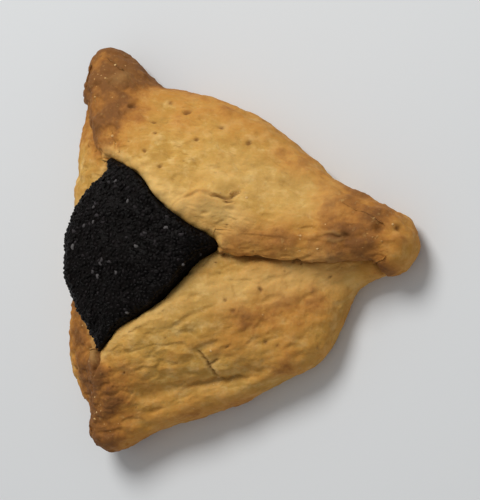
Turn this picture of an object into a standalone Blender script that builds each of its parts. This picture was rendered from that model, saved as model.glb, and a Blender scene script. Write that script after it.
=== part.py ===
"""A hamantasch: a three-cornered biscuit, a round of dough folded on three sides over poppy-seed filling.

Metres, +Z up. The biscuit rests on its flat underside at z = 0. Its long arm points east, along +X, and
the other two point north-west and south-west, with north along +Y. The folds were made in the order west,
south, north: the north fold laps over both of its neighbours, and the south fold over the west one.

Both pieces are lofts. Section lines stand round the biscuit, counter-clockwise from the east corner, and
rings follow each section from the underside round the outside, over the opening's rim and back inside.
"""

import math

import bpy
import numpy as np
from mathutils import Vector, noise

# Plan of the outside. Corners are in the order east, north-west, south-west; sides north, west, south.
TIPS = ((0.0336, -0.0008), (-0.0210, 0.0340), (-0.0196, -0.0315))
TIP_RADIUS = (0.0046, 0.0034, 0.0040)
# How far each side stands out from the straight line between its tips, at sixths of the way along it.
SIDE_SWELL = (
    (-0.0006, 0.0013, 0.0030, 0.0017, -0.0019),
    (0.0030, 0.0032, 0.0030, 0.0040, 0.0048),
    (0.0018, 0.0044, 0.0061, 0.0056, -0.0006),
)
# How far beyond the round of each tip its corner of the loft reaches, so that the seams are section lines.
TIP_REACH = ((0.0028, 0.0), (0.0, 0.0068), (0.0014, 0.0))

# Plan of the opening, by the same rule.
OPENING_CORNERS = ((0.0050, -0.0002), (-0.0152, 0.0150), (-0.0176, -0.0180))
OPENING_RADIUS = (0.0007, 0.0007, 0.0007)
OPENING_SWELL = (
    (-0.0003, -0.0002, 0.0000, 0.0010, 0.0008),
    (0.0026, 0.0047, 0.0055, 0.0045, 0.0022),
    (-0.0004, 0.0005, 0.0012, 0.0006, -0.0004),
)
OPENING_REACH = ((0.0, 0.0), (0.0, 0.0), (0.0, 0.0))

# What is added to a plan position, to put the origin under the middle of the biscuit's box.
PLAN_SHIFT = np.array((-0.0052, -0.0007))

# Heights: (east, north-west, south-west corner), then (north, west, south side). Along a side the values
# follow a power of the sine: the lower one keeps the upright west side's own values nearer to its corners.
SIDE_BREADTH = (1.3, 0.5, 1.3)
WIDEST_HEIGHT = ((0.0036, 0.0040, 0.0038), (0.0046, 0.0050, 0.0048))
RIM_HEIGHT = ((0.0134, 0.0138, 0.0136), (0.0174, 0.0126, 0.0168))
FLOOR_HEIGHT = 0.0045

# Section through a fold, from the underside round the outside to the rounded cut edge of the dough.
BASE_TUCK = 0.0017
SHOULDER_DEPTH = ((0.0052, 0.0046, 0.0044), (0.0038, 0.0012, 0.0038))
SHOULDER_RISE = ((0.0038, 0.0042, 0.0042), (0.0044, 0.0040, 0.0048))
SHOULDER_TURN = math.radians(64)
STEEPEST_SLOPE = 1.6
RIM_RADIUS = ((0.0018, 0.0018, 0.0018), (0.0021, 0.0021, 0.0021))
RIM_SLOPE = 0.22
SECTION_BOW = ((-0.0006, 0.0, 0.0), (0.0, 0.0, 0.0))

# The cavity: how far it reaches under the folds, as a share of the way from the rim to the shoulder.
CAVITY_SHARE = ((0.10, 0.16, 0.16), (0.60, 0.0, 0.62))
CAVITY_EDGE_RISE = 0.0012
CAVITY_FOOT_SHARE = 0.05
RIM_UNDERSIDE_TURN = ((-60.0, -60.0, -60.0), (-85.0, -5.0, -85.0))

# The filling keeps a small gap to the dough, domes up through the opening and slumps over the west rim.
# The dome gets rounder and closes in by these powers and shares of the way from the rim to its centre.
DOME_CLOSING = 1.1
DOME_ROUNDING = 1.4
DOME_SLUMP_REACH = 0.53
DOME_RISE = (2.2, 0.75)
FILLING_GAP = 0.0004
CENTRE = np.array((-0.0080, -0.0010)) + PLAN_SHIFT
FILLING_TOP = 0.0208
FILLING_CONTACT_TURN = ((34.0, 34.0, 34.0), (26.0, 92.0, 26.0))
FILLING_SLUMP = ((0.0, 0.0, 0.0), (0.0003, 0.0021, 0.0003))
FILLING_ROUND = 0.0168

# Seams, where one fold laps over the next: the step up to the lapping fold, and how it dies away inwards.
SEAM_STEP = (0.0032, 0.0026, 0.0026)
SEAM_ROUNDING = 0.0048
SEAM_FADE = 0.0130
SEAM_AT_EDGE = 0.30
CREASE_DEPTH = 0.0004
CREASE_WIDTH = 0.0009

# A long shallow crack low on the south fold.
CRACK = ((-0.0113, -0.0257), (-0.0050, -0.0250), (0.0009, -0.0245), (0.0060, -0.0240), (0.0095, -0.0229))
CRACK_DEPTH = 0.0009
CRACK_WIDTH = 0.0014

# Relief of the baked dough and of the filling.
LUMP_HEIGHT = 0.0007
LUMP_LENGTH = 0.0125
WRINKLE_HEIGHT = 0.00035
WRINKLE_WIDTH = 0.0046
WRINKLE_LENGTH = 0.0190
RELIEF_FADE_RINGS = 3
FILLING_LUMP_HEIGHT = 0.0006
FILLING_LUMP_LENGTH = 0.0052
FRACTAL = (1.0, 2.0, 2)

# Mesh density: section lines round each corner and along each side, and rings on each stretch of a section.
CORNER_LINES = 11
SIDE_LINES = 25
UNDERSIDE_RINGS = 2
TUCK_RINGS = 3
SHOULDER_RINGS = 4
SLOPE_RINGS = 13
RIM_RINGS = 5
CEILING_RINGS = 2
FLOOR_RINGS = 1
DOME_RINGS = 9
CURVE_POINTS = 40
CROWDING = 0.55

# Which section line each seam follows, and on which side of it the lapping fold lies.
LINES_PER_CORNER = CORNER_LINES + SIDE_LINES
SEAMS = ((0, 1), (LINES_PER_CORNER + CORNER_LINES - 1, -1), (2 * LINES_PER_CORNER, 1))

DOUGH_COLOUR = (0.60, 0.36, 0.13, 1.0)
DOUGH_ROUGHNESS = 0.75
FILLING_COLOUR = (0.012, 0.010, 0.012, 1.0)
FILLING_ROUGHNESS = 0.35


def clear_scene():
    for obj in list(bpy.data.objects):
        bpy.data.objects.remove(obj)


def smoothstep(x):
    x = np.clip(x, 0.0, 1.0)
    return x * x * (3 - 2 * x)


def unit(vectors):
    return vectors / np.maximum(np.linalg.norm(vectors, axis=-1, keepdims=True), 1e-12)


def smooth_through(values, share):
    """A smooth curve through values that are spaced evenly from 0 to 1."""
    values = np.array(values)
    last = len(values) - 1
    k = np.clip((share * last).astype(int), 0, last - 1)
    t = share * last - k
    start, end = values[k], values[k + 1]
    before, after = values[np.maximum(k - 1, 0)], values[np.minimum(k + 2, last)]
    bend = 2 * before - 5 * start + 4 * end - after + t * (3 * (start - end) + after - before)
    return start + 0.5 * t * (end - before + t * bend)


def side_shares():
    """How far along its side each line between two corners lies, closer together towards the corners."""
    even = np.arange(1, SIDE_LINES + 1) / (SIDE_LINES + 1)
    return even * (1 - CROWDING) + smoothstep(even) * CROWDING


def around(values):
    """One value for each section line, from those at the corners and at the middles of the sides."""
    corners, sides = values
    made = []
    for k in range(3):
        made += [corners[k]] * CORNER_LINES
        for share in side_shares():
            middle = math.sin(math.pi * share) ** SIDE_BREADTH[k]
            nearest = corners[k] if share < 0.5 else corners[(k + 1) % 3]
            made.append(nearest + (sides[k] - nearest) * middle)
    return np.array(made)


def side_curve(start, end, radii, swell):
    """Points and outward normals along one side of a three-cornered outline."""
    chord = end - start
    outward = unit(np.array((chord[1], -chord[0])))
    share = np.linspace(0.0, 1.0, CURVE_POINTS)
    spine = start + chord * share[:, None] + outward * smooth_through((0.0, *swell, 0.0), share)[:, None]
    step = np.gradient(spine, axis=0)
    normals = unit(np.column_stack((step[:, 1], -step[:, 0])))
    radius = radii[0] + (radii[1] - radii[0]) * share
    return spine + normals * radius[:, None], normals


def corner_curve(tip, radius, before, after):
    """Points and outward normals round one tip, turning from one side's normal to the next one's."""
    turn = np.linspace(0.0, 1.0, CURVE_POINTS)[:, None]
    normals = unit(before * (1 - turn) + after * turn)
    return tip + radius * normals, normals


def three_cornered(tips, radii, swells, reach):
    """Points and outward normals, at each section line, of a rounded outline with three corners."""
    tips = [np.array(tip) for tip in tips]
    sides = [
        side_curve(tips[k], tips[(k + 1) % 3], (radii[k], radii[(k + 1) % 3]), swells[k]) for k in range(3)
    ]
    curves = []
    for k in range(3):
        curves += [corner_curve(tips[k], radii[k], sides[k - 1][1][-1], sides[k][1][0]), sides[k]]
    points = np.vstack([curve[0] for curve in curves] + [curves[0][0][:1]])
    normals = np.vstack([curve[1] for curve in curves] + [curves[0][1][:1]])
    passed = np.concatenate(((0.0,), np.cumsum(np.linalg.norm(np.diff(points, axis=0), axis=1))))
    places = []
    for k in range(3):
        start = passed[2 * k * CURVE_POINTS] - reach[k][0]
        end = passed[(2 * k + 1) * CURVE_POINTS - 1] + reach[k][1]
        following = passed[2 * (k + 1) * CURVE_POINTS] - reach[(k + 1) % 3][0]
        places += list(np.linspace(start, end, CORNER_LINES))
        places += list(end + (following - end) * side_shares())
    places = np.array(places) % passed[-1]
    along = [np.interp(places, passed, column) for column in (*points.T, *normals.T)]
    return np.column_stack(along[:2]) + PLAN_SHIFT, unit(np.column_stack(along[2:]))


def ring(plan, height):
    """A ring of points, one for each section line, at one height or at a height for each line."""
    return np.column_stack((plan, np.broadcast_to(height, len(plan))))


OUTSIDE, OUTSIDE_NORMALS = three_cornered(TIPS, TIP_RADIUS, SIDE_SWELL, TIP_REACH)
OPENING, OPENING_NORMALS = three_cornered(OPENING_CORNERS, OPENING_RADIUS, OPENING_SWELL, OPENING_REACH)
SHOULDER = OUTSIDE - OUTSIDE_NORMALS * (around(SHOULDER_DEPTH) * (1 - math.cos(SHOULDER_TURN)))[:, None]


def outer_rings():
    """The outside of the dough, from the underside's edge to the crown of the rim."""
    widest = around(WIDEST_HEIGHT)
    rings = []
    for i in range(TUCK_RINGS + 1):
        turn = -math.pi / 2 * (1 - i / TUCK_RINGS)
        inward = BASE_TUCK * (1 - math.cos(turn))
        rings.append(ring(OUTSIDE - OUTSIDE_NORMALS * inward, widest * (1 + math.sin(turn))))
    rise, depth = around(SHOULDER_RISE), around(SHOULDER_DEPTH)
    for i in range(1, SHOULDER_RINGS + 1):
        turn = SHOULDER_TURN * i / SHOULDER_RINGS
        inward = OUTSIDE_NORMALS * (depth * (1 - math.cos(turn)))[:, None]
        rings.append(ring(OUTSIDE - inward, widest + rise * math.sin(turn)))
    return rings + slope_rings(rings[-1])


def slope_rings(shoulder):
    """The smooth slope of each fold, from its shoulder up to the crown of the rim."""
    crown = ring(OPENING + OPENING_NORMALS * around(RIM_RADIUS)[:, None], around(RIM_HEIGHT))
    way = crown[:, :2] - shoulder[:, :2]
    run = np.linalg.norm(way, axis=1)
    sideways = unit(np.column_stack((-way[:, 1], way[:, 0]))) * -around(SECTION_BOW)[:, None]
    steepness = around(SHOULDER_RISE) / (around(SHOULDER_DEPTH) * math.tan(SHOULDER_TURN))
    start_slope = run * np.minimum(steepness, STEEPEST_SLOPE)
    end_slope = run * RIM_SLOPE
    rings = []
    for i in range(1, SLOPE_RINGS + 1):
        t = i / SLOPE_RINGS
        height = shoulder[:, 2] + (crown[:, 2] - shoulder[:, 2]) * smoothstep(t)
        height = height + start_slope * t * (1 - t) ** 2 - end_slope * t**2 * (1 - t)
        rings.append(ring(shoulder[:, :2] + way * t + sideways * 4 * t * (1 - t), height))
    return rings


def cavity_rings(first_turn, rim_lift):
    """The inside of the dough, from the rounded rim and under the folds to the cavity's floor.

    A turn of 90 degrees on the rim is its crown, and 0 faces the opening."""
    radius = around(RIM_RADIUS)
    last_turn = around(RIM_UNDERSIDE_TURN)
    rings = []
    for i in range(RIM_RINGS + 1):
        turn = np.radians(first_turn + (last_turn - first_turn) * i / RIM_RINGS)
        plan = OPENING + OPENING_NORMALS * (radius * (1 - np.cos(turn)))[:, None]
        rings.append(ring(plan, around(RIM_HEIGHT) + rim_lift - radius * (1 - np.sin(turn))))
    underside = rings[-1]
    edge_plan = underside[:, :2] + (SHOULDER - underside[:, :2]) * around(CAVITY_SHARE)[:, None]
    edge = ring(edge_plan, FLOOR_HEIGHT + CAVITY_EDGE_RISE)
    rings += [underside + (edge - underside) * i / CEILING_RINGS for i in range(1, CEILING_RINGS + 1)]
    foot_plan = edge_plan + (CENTRE - edge_plan) * CAVITY_FOOT_SHARE
    rings.append(ring(foot_plan, FLOOR_HEIGHT))
    return rings


def closing_rings(edge, count):
    """Flat rings from an edge towards the centre, on the underside or the floor."""
    inward = CENTRE - edge[:, :2]
    return [ring(edge[:, :2] + inward * i / (count + 1), edge[:, 2]) for i in range(1, count + 1)]


def grid_normals(grid):
    """Outward unit normals of a grid of rings."""
    along = np.roll(grid, -1, axis=1) - np.roll(grid, 1, axis=1)
    return unit(np.cross(along, np.gradient(grid, axis=0)))


def distance_to_path(points, path):
    """Distance in plan from each point to a path of straight stretches."""
    nearest = np.full(points.shape[:-1], np.inf)
    for start, end in zip(path[:-1], path[1:]):
        way = end - start
        share = np.clip((points - start) @ way / max(way @ way, 1e-18), 0.0, 1.0)
        nearest = np.minimum(nearest, np.linalg.norm(points - start - share[..., None] * way, axis=-1))
    return nearest


def seam_relief(outer):
    """How far the lapping folds stand up beside their seams, for each point of the outer rings."""
    relief = np.zeros(outer.shape[:2])
    lines = np.arange(outer.shape[1])
    for (line, over_side), step in zip(SEAMS, SEAM_STEP):
        distance = distance_to_path(outer[:, :, :2], outer[TUCK_RINGS:, line, :2])
        steps_over = (lines - line) * over_side % len(lines)
        over = (steps_over > 0) & (steps_over < len(lines) // 3)
        rounded = np.sqrt(1 - (1 - np.clip(distance / SEAM_ROUNDING, 0.0, 1.0)) ** 2)
        faded = np.exp(-((np.maximum(distance - SEAM_ROUNDING, 0.0) / SEAM_FADE) ** 2))
        relief += np.where(over, step * rounded * faded, 0.0)
        relief -= CREASE_DEPTH * np.exp(-((distance / CREASE_WIDTH) ** 2))
    return relief


def crack_relief(outer):
    distance = distance_to_path(outer[:, :, :2], np.array(CRACK) + PLAN_SHIFT)
    return -CRACK_DEPTH * np.exp(-((distance / CRACK_WIDTH) ** 2))


def baked_relief(points):
    """Lumps all over the dough, and long wrinkles that run along the south fold."""
    relief = []
    for x, y, z in points:
        lumps = noise.fractal(Vector((x, y, z)) / LUMP_LENGTH, *FRACTAL)
        wrinkles = noise.noise(Vector((x / WRINKLE_LENGTH, y / WRINKLE_WIDTH, z / WRINKLE_WIDTH)))
        relief.append(LUMP_HEIGHT * lumps + WRINKLE_HEIGHT * wrinkles)
    return np.array(relief)


def relieve(outer):
    """The outer rings with their relief, and how far it lifts the rim at each section line."""
    tucked = np.arange(TUCK_RINGS) / TUCK_RINGS * SEAM_AT_EDGE
    shoulder = smoothstep(np.arange(SHOULDER_RINGS + 1) / SHOULDER_RINGS) * (1 - SEAM_AT_EDGE) + SEAM_AT_EDGE
    seam_weight = np.concatenate((tucked, shoulder, np.ones(SLOPE_RINGS)))[:, None]
    from_base = np.arange(len(outer)) / TUCK_RINGS
    to_rim = (len(outer) - 1 - np.arange(len(outer))) / RELIEF_FADE_RINGS
    baked_weight = np.minimum(np.minimum(from_base, to_rim), 1.0)[:, None]
    seams = seam_relief(outer) * seam_weight
    baked = baked_relief(outer.reshape(-1, 3)).reshape(seams.shape) + crack_relief(outer)
    slope = np.arange(len(outer)) - (TUCK_RINGS + SHOULDER_RINGS)
    upright = smoothstep(slope / SLOPE_RINGS)[:, None, None]
    normals = grid_normals(outer)
    lift_way = unit(normals * (1 - upright) + np.array((0.0, 0.0, 1.0)) * upright)
    return outer + lift_way * seams[..., None] + normals * (baked * baked_weight)[..., None], seams[-1]


def closed_mesh(name, rings, first_pole, last_pole):
    """A mesh of the rings, closed by a point at each end of the sections."""
    grid = np.array(rings)
    count, lines = grid.shape[:2]
    vertices = [tuple(point) for point in grid.reshape(-1, 3)]
    vertices += [first_pole, last_pole]
    first, last = count * lines, count * lines + 1
    top = (count - 1) * lines
    faces = []
    for i in range(lines):
        following = (i + 1) % lines
        faces.append((first, following, i))
        faces.append((last, top + i, top + following))
        for r in range(count - 1):
            here, above = r * lines, (r + 1) * lines
            faces.append((here + i, here + following, above + following, above + i))
    mesh = bpy.data.meshes.new(name)
    mesh.from_pydata(vertices, [], faces)
    mesh.update()
    mesh.shade_smooth()
    return mesh


def plain_material(name, colour, roughness):
    made = bpy.data.materials.new(name)
    made.use_nodes = True
    shader = made.node_tree.nodes["Principled BSDF"]
    shader.inputs["Base Color"].default_value = colour
    shader.inputs["Roughness"].default_value = roughness
    shader.inputs["Metallic"].default_value = 0.0
    return made


def add_object(name, mesh, material):
    mesh.materials.append(material)
    bpy.context.scene.collection.objects.link(bpy.data.objects.new(name, mesh))


def centre_point(height):
    return (*CENTRE, height)


def make_dough():
    """The folded round of dough, open in the middle, with the filling's cavity under its folds.

    Returns how far the seams lift the rim, which the filling has to follow."""
    outer, rim_lift = relieve(np.array(outer_rings()))
    underside = closing_rings(outer[0], UNDERSIDE_RINGS)[::-1]
    inner = cavity_rings(90.0, rim_lift)[1:]
    floor = closing_rings(inner[-1], FLOOR_RINGS)
    rings = [*underside, *outer, *inner, *floor]
    mesh = closed_mesh("dough", rings, centre_point(0.0), centre_point(FLOOR_HEIGHT))
    add_object("dough", mesh, plain_material("baked_dough", DOUGH_COLOUR, DOUGH_ROUGHNESS))
    return rim_lift


def dome_rings(start):
    """The filling's top from where it leaves the rim: it bulges out, then closes in and gets rounder."""
    out = start[:, :2] - CENTRE
    reach = np.linalg.norm(out, axis=1)
    bearing = np.unwrap(np.arctan2(out[:, 1], out[:, 0]))
    even = np.linspace(0.0, 2 * math.pi, len(bearing), endpoint=False)
    even = even + np.mean(bearing - even)
    slump = around(FILLING_SLUMP)
    rings = []
    for i in range(1, DOME_RINGS + 1):
        t = i / (DOME_RINGS + 1)
        rounder = smoothstep(t * DOME_ROUNDING)
        radius = (reach * (1 - rounder) + FILLING_ROUND * rounder) * (1 - t**DOME_CLOSING)
        radius = radius + slump * math.sin(math.pi * min(1.0, t / DOME_SLUMP_REACH))
        rise = (1 - (1 - t) ** DOME_RISE[0]) ** DOME_RISE[1]
        turn = bearing * (1 - rounder) + even * rounder
        plan = CENTRE + np.column_stack((np.cos(turn), np.sin(turn))) * radius[:, None]
        rings.append(ring(plan, start[:, 2] + (FILLING_TOP - start[:, 2]) * rise))
    return rings


def filling_relief(dome):
    points = dome.reshape(-1, 3) / FILLING_LUMP_LENGTH
    lumps = np.array([noise.fractal(Vector(point), *FRACTAL) for point in points])
    return FILLING_LUMP_HEIGHT * lumps.reshape(dome.shape[:2])


def make_filling(rim_lift):
    """The poppy-seed filling: it fills the cavity with a small gap, and domes up through the opening."""
    against = np.array(cavity_rings(around(FILLING_CONTACT_TURN), rim_lift))
    against = against + grid_normals(against) * FILLING_GAP
    against[-1, :, 2] = FLOOR_HEIGHT + FILLING_GAP
    bottom = closing_rings(against[-1], FLOOR_RINGS)[::-1]
    dome = np.array(dome_rings(against[0]))
    top = np.vstack((against[:1], dome))
    dome = dome + grid_normals(top)[1:] * filling_relief(dome)[..., None]
    rings = [*bottom, *against[::-1], *dome]
    bottom_pole = centre_point(FLOOR_HEIGHT + FILLING_GAP)
    mesh = closed_mesh("filling", rings, bottom_pole, centre_point(FILLING_TOP))
    material = plain_material("poppy_filling", FILLING_COLOUR, FILLING_ROUGHNESS)
    add_object("filling", mesh, material)


def main():
    clear_scene()
    rim_lift = make_dough()
    make_filling(rim_lift)


main()
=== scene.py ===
"""The looks of the hamantasch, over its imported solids. Metres, +Z up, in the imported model's frame.

The dough and the filling are lofted again by the rules and named sizes of the solids, with a softer start of
each side beside its corners, and with many more section lines and rings, which carry the fine relief of baked
dough: wrinkles, pits, cracks and the folds' overhanging edges. Poppy seeds lie all over the filling's top.
"""

import math

import bmesh
import bpy
import numpy as np
from mathutils import Matrix, Vector, noise


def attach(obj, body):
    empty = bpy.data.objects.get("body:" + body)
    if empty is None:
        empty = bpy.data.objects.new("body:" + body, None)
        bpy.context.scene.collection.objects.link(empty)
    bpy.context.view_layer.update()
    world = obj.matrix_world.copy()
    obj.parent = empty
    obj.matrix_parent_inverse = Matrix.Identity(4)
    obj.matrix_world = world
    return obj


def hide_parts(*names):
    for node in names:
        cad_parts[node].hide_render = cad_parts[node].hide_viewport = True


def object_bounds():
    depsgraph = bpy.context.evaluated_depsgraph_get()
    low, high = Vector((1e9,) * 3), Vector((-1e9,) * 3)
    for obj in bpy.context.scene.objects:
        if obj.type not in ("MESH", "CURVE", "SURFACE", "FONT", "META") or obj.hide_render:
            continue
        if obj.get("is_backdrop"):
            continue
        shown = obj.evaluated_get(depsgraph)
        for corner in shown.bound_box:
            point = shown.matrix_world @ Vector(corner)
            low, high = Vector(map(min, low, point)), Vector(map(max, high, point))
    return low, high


# Plan of the outside. Corners are in the order east, north-west, south-west; sides north, west, south. The
# section lines of a corner reach so far past the ends of its arc.
TIPS = ((0.0336, -0.0008), (-0.0210, 0.0340), (-0.0196, -0.0315))
TIP_RADIUS = (0.0046, 0.0034, 0.0040)
SIDE_SWELL = (
    (-0.0006, 0.0013, 0.0030, 0.0017, -0.0019),
    (0.0030, 0.0032, 0.0030, 0.0040, 0.0048),
    (0.0018, 0.0044, 0.0061, 0.0056, -0.0006),
)
TIP_REACH = ((0.0028, 0.0), (0.0, 0.0068), (0.0014, 0.0))

# Plan of the opening, by the same rule, and the shift that puts the origin under the middle of the box.
OPENING_CORNERS = ((0.0050, -0.0002), (-0.0152, 0.0150), (-0.0176, -0.0180))
OPENING_RADIUS = (0.0007,) * 3
OPENING_SWELL = (
    (-0.0003, -0.0002, 0.0000, 0.0010, 0.0008),
    (0.0026, 0.0047, 0.0055, 0.0045, 0.0022),
    (-0.0004, 0.0005, 0.0012, 0.0006, -0.0004),
)
OPENING_REACH = ((0.0, 0.0),) * 3
PLAN_SHIFT = np.array((-0.0052, -0.0007))

# Heights and section sizes: (east, north-west, south-west corner), then (north, west, south side). From its
# corners to its middle a side's value changes as a sine to the power of its breadth, after a soft start.
SIDE_BREADTH = (1.3, 0.5, 1.3)
SIDE_START = (0.10, 0.0, 0.10)
WIDEST_HEIGHT = ((0.0036, 0.0040, 0.0038), (0.0046, 0.0050, 0.0048))
RIM_HEIGHT = ((0.0134, 0.0138, 0.0136), (0.0174, 0.0126, 0.0168))
FLOOR_HEIGHT = 0.0045
BASE_TUCK = 0.0017
SHOULDER_DEPTH = ((0.0052, 0.0046, 0.0044), (0.0038, 0.0012, 0.0038))
SHOULDER_RISE = ((0.0038, 0.0042, 0.0042), (0.0044, 0.0040, 0.0048))
SHOULDER_TURN = math.radians(64)
STEEPEST_SLOPE = 1.6
RIM_RADIUS = ((0.0018,) * 3, (0.0021,) * 3)
RIM_SLOPE = 0.22
SECTION_BOW = ((-0.0006, 0.0, 0.0), (0.0, 0.0, 0.0))
CAVITY_SHARE = ((0.10, 0.16, 0.16), (0.60, 0.0, 0.62))
CAVITY_EDGE_RISE = 0.0012
CAVITY_FOOT_SHARE = 0.05
RIM_UNDERSIDE_TURN = ((-60.0, -60.0, -60.0), (-85.0, -5.0, -85.0))

# The filling's dome.
DOME_CLOSING = 1.1
DOME_ROUNDING = 1.4
DOME_SLUMP_REACH = 0.53
DOME_RISE = (2.2, 0.75)
FILLING_GAP = 0.00015
CENTRE = np.array((-0.0080, -0.0010)) + PLAN_SHIFT
FILLING_TOP = 0.0208
FILLING_CONTACT_TURN = ((34.0, 34.0, 34.0), (26.0, 92.0, 26.0))
FILLING_SLUMP = ((0.0, 0.0, 0.0), (0.0003, 0.0021, 0.0003))
FILLING_ROUND = 0.0168

# Mesh density: section lines round each corner and along each side, and rings on each stretch of a section.
# A side's lines crowd towards its corners, and a corner's lines towards its seam.
CORNER_LINES = 51
SIDE_LINES = 175
UNDERSIDE_RINGS = 6
TUCK_RINGS = 12
SHOULDER_RINGS = 17
SLOPE_RINGS = 84
RIM_RINGS = 14
CEILING_RINGS = 2
FLOOR_RINGS = 1
DOME_RINGS = 80
CURVE_POINTS = 160
CROWDING = 0.55
SEAM_CROWDING = 1.6
FILLING_LINE_STEP = 3
PATH_STEP = 3

# Which section line each seam follows, and on which side of it the lapping fold lies.
LINES_PER_CORNER = CORNER_LINES + SIDE_LINES
SEAMS = ((0, 1), (LINES_PER_CORNER + CORNER_LINES - 1, -1), (2 * LINES_PER_CORNER, 1))

# The folds' laps: the step up to the lapping fold, how it dies away inwards, the crease below it, and how far
# its edge hangs over. Nose and back are shares of the rounding's width, and the foot is a share of the seam.
SEAM_STEP = (0.0032, 0.0026, 0.0026)
SEAM_ROUNDING = 0.0048
SEAM_FADE = 0.0130
SEAM_AT_EDGE = 0.30
CREASE_DEPTH = 0.00055
CREASE_WIDTH = (0.00050, 0.00055, 0.00085)
CREASE_HEIGHT = 0.0007
CREASE_FROM_RIM = (0.0032, 0.0010, 0.0004)
# Painted shade in the crease at the foot of each step: how dark the crust is painted there.
CREASE_SHADE = 0.75
CREASE_FADE = 1.5
OVERHANG = 0.0007
OVERHANG_NOSE = 0.09
OVERHANG_BACK = 0.80
OVERHANG_FROM_RIM = 0.0035
OVERHANG_FROM_FOOT = 0.34
LAP_WAVE = 0.60
LAP_WAVE_LENGTH = 0.0050

# Lumps and long wrinkles, as on the solids.
LUMP_HEIGHT = 0.0007
LUMP_LENGTH = 0.0125
WRINKLE_HEIGHT = 0.00035
WRINKLE_WIDTH = 0.0046
WRINKLE_LENGTH = 0.0190
RELIEF_FADE_SHARE = 3 / 13
RIM_FADE = 0.8
CRACK = ((-0.0113, -0.0257), (-0.0050, -0.0250), (0.0009, -0.0245), (0.0060, -0.0240), (0.0095, -0.0229))
CRACK_DEPTH = 0.0009
CRACK_WIDTH = 0.0014
FILLING_LUMP_HEIGHT = 0.0006
FILLING_LUMP_LENGTH = 0.0052
FILLING_CLOT_HEIGHT = 0.00022
FILLING_CLOT_LENGTH = 0.0013

# Fine relief: (height, length along the grain, length across it), with the grain's bearing on each side. The
# offsets set one noise apart from another.
NORTH_GRAIN = math.radians(-10)
SOUTH_GRAIN = math.radians(12)
GRAIN_BLEND = 0.0060
DIMPLES = ((0.00034, 0.0050, 0.0024), (0.00013, 0.0024, 0.0012))
FOLDS = (0.00008, 0.0062, 0.0015)
FOLD_SHARPNESS = 0.30
FOLD_OFFSET = 0.5
NORTH_FOLDS = 0.85
DENTS = (0.00024, 0.0034, 0.0015)
DENT_FROM = 0.14
DENT_SHARPNESS = 0.22
DENT_OFFSET = 0.25
CRUMB_SIZES = ((0.00011, 0.0017), (0.000045, 0.0007))
BLISTERS = (0.00026, 0.0019)

# Pits where bubbles burst: place in plan, and radius. The rest are scattered. Depth and reach are in radii.
PITS = (
    (-0.0020, 0.0239, 0.00062),
    (-0.0121, 0.0256, 0.00062),
    (-0.0075, 0.0222, 0.00045),
    (0.0015, 0.0183, 0.00040),
    (0.0045, 0.0209, 0.00045),
    (-0.0037, 0.0135, 0.00045),
    (0.0290, 0.0001, 0.00050),
    (0.0297, -0.0011, 0.00035),
    (0.0345, 0.0012, 0.00070),
    (0.0375, 0.0013, 0.00070),
    (-0.0063, 0.0259, 0.00040),
    (-0.0071, 0.0165, 0.00035),
    (0.0104, 0.0174, 0.00045),
    (0.0128, -0.0084, 0.00050),
    (0.0083, -0.0123, 0.00045),
    (0.0103, -0.0131, 0.00035),
    (0.0138, -0.0177, 0.00040),
    (0.0156, -0.0182, 0.00035),
    (0.0071, -0.0105, 0.00035),
)
PIT_DEPTH = 0.95
PIT_REACH = 4
PIT_FALLOFF = 3
# Painted shade in each pit: how dark the crust is painted at its middle.
PIT_SHADE = 0.8
SCATTERED_PITS = 90
SCATTERED_PIT_RADIUS = (0.00012, 0.00030)

# The sharp edge of a low swelling of the crust beside the opening. It dies away to the south of the edge.
SWELLING = (
    (-0.0006, 0.0060),
    (0.0017, 0.0076),
    (0.0035, 0.0085),
    (0.0055, 0.0083),
    (0.0082, 0.0072),
    (0.0100, 0.0062),
)
SWELLING_HEIGHT = 0.00100
SWELLING_REACH = (0.0036, 0.0004)
SWELLING_END = 0.001

# Cracks in the crust: (depth, width, painted shade in the crack, share of the lips, path in plan). The first
# curls over the swelling, and the next two branch from its end. Three lie on the south fold and one on the
# north fold's ridge. The last two run on from the opening's south-west and east corners.
SOUTH_CRACK = ((0.0014, -0.0188), (0.0027, -0.0207), (0.0035, -0.0226), (0.0038, -0.0240))
SOUTH_WRINKLE = ((-0.0040, -0.0256), (0.0008, -0.0247), (0.0060, -0.0238), (0.0112, -0.0234))
# A shallow dent below the opening's south-west corner, darkened fully as a painted shadow line beside the
# south fold's edge.
CORNER_CRACK_AND_SHADOW = ((-0.0180, -0.0162), (-0.0180, -0.0188), (-0.0181, -0.0212), (-0.0190, -0.0232))
CRACKS = (
    (0.00045, 0.00045, 0.30, 0.30, SWELLING[:-1]),
    (0.00080, 0.00040, 0.85, 0.85, ((0.0058, 0.0079), (0.0072, 0.0073), (0.0089, 0.0072), (0.0106, 0.0090))),
    (0.00065, 0.00036, 0.80, 0.80, ((0.0078, 0.0071), (0.0087, 0.0064), (0.0098, 0.0066))),
    (0.00070, 0.00036, 0.80, 0.90, SOUTH_CRACK),
    (0.00045, 0.00030, 0.60, 0.60, ((0.0022, -0.0217), (0.0034, -0.0212), (0.0048, -0.0205))),
    (0.00060, 0.00050, 0.45, 0.30, SOUTH_WRINKLE),
    (0.00035, 0.00034, 0.55, 0.55, ((0.0240, 0.0000), (0.0262, 0.0002), (0.0290, 0.0002))),
    # A painted shadow line below the opening's south-west corner.
    (0.00090, 0.00050, 1.00, 0.00, CORNER_CRACK_AND_SHADOW),
    (0.00040, 0.00050, 0.60, 0.00, ((0.0050, -0.0012), (0.0062, -0.0021), (0.0078, -0.0029))),
)
CRACK_END = 0.02
# A crack's raised lips: height in its depths, place in its widths, and how pale they are.
CRACK_LIP = 0.40
CRACK_LIP_PLACE = 1.9
CRACK_LIP_PALENESS = 0.55
CRACK_WANDER = 0.00045
CRACK_WANDER_LENGTH = 0.0022
CRACK_WANDER_OFFSETS = (0.3, 0.7, 0.9)

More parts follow.
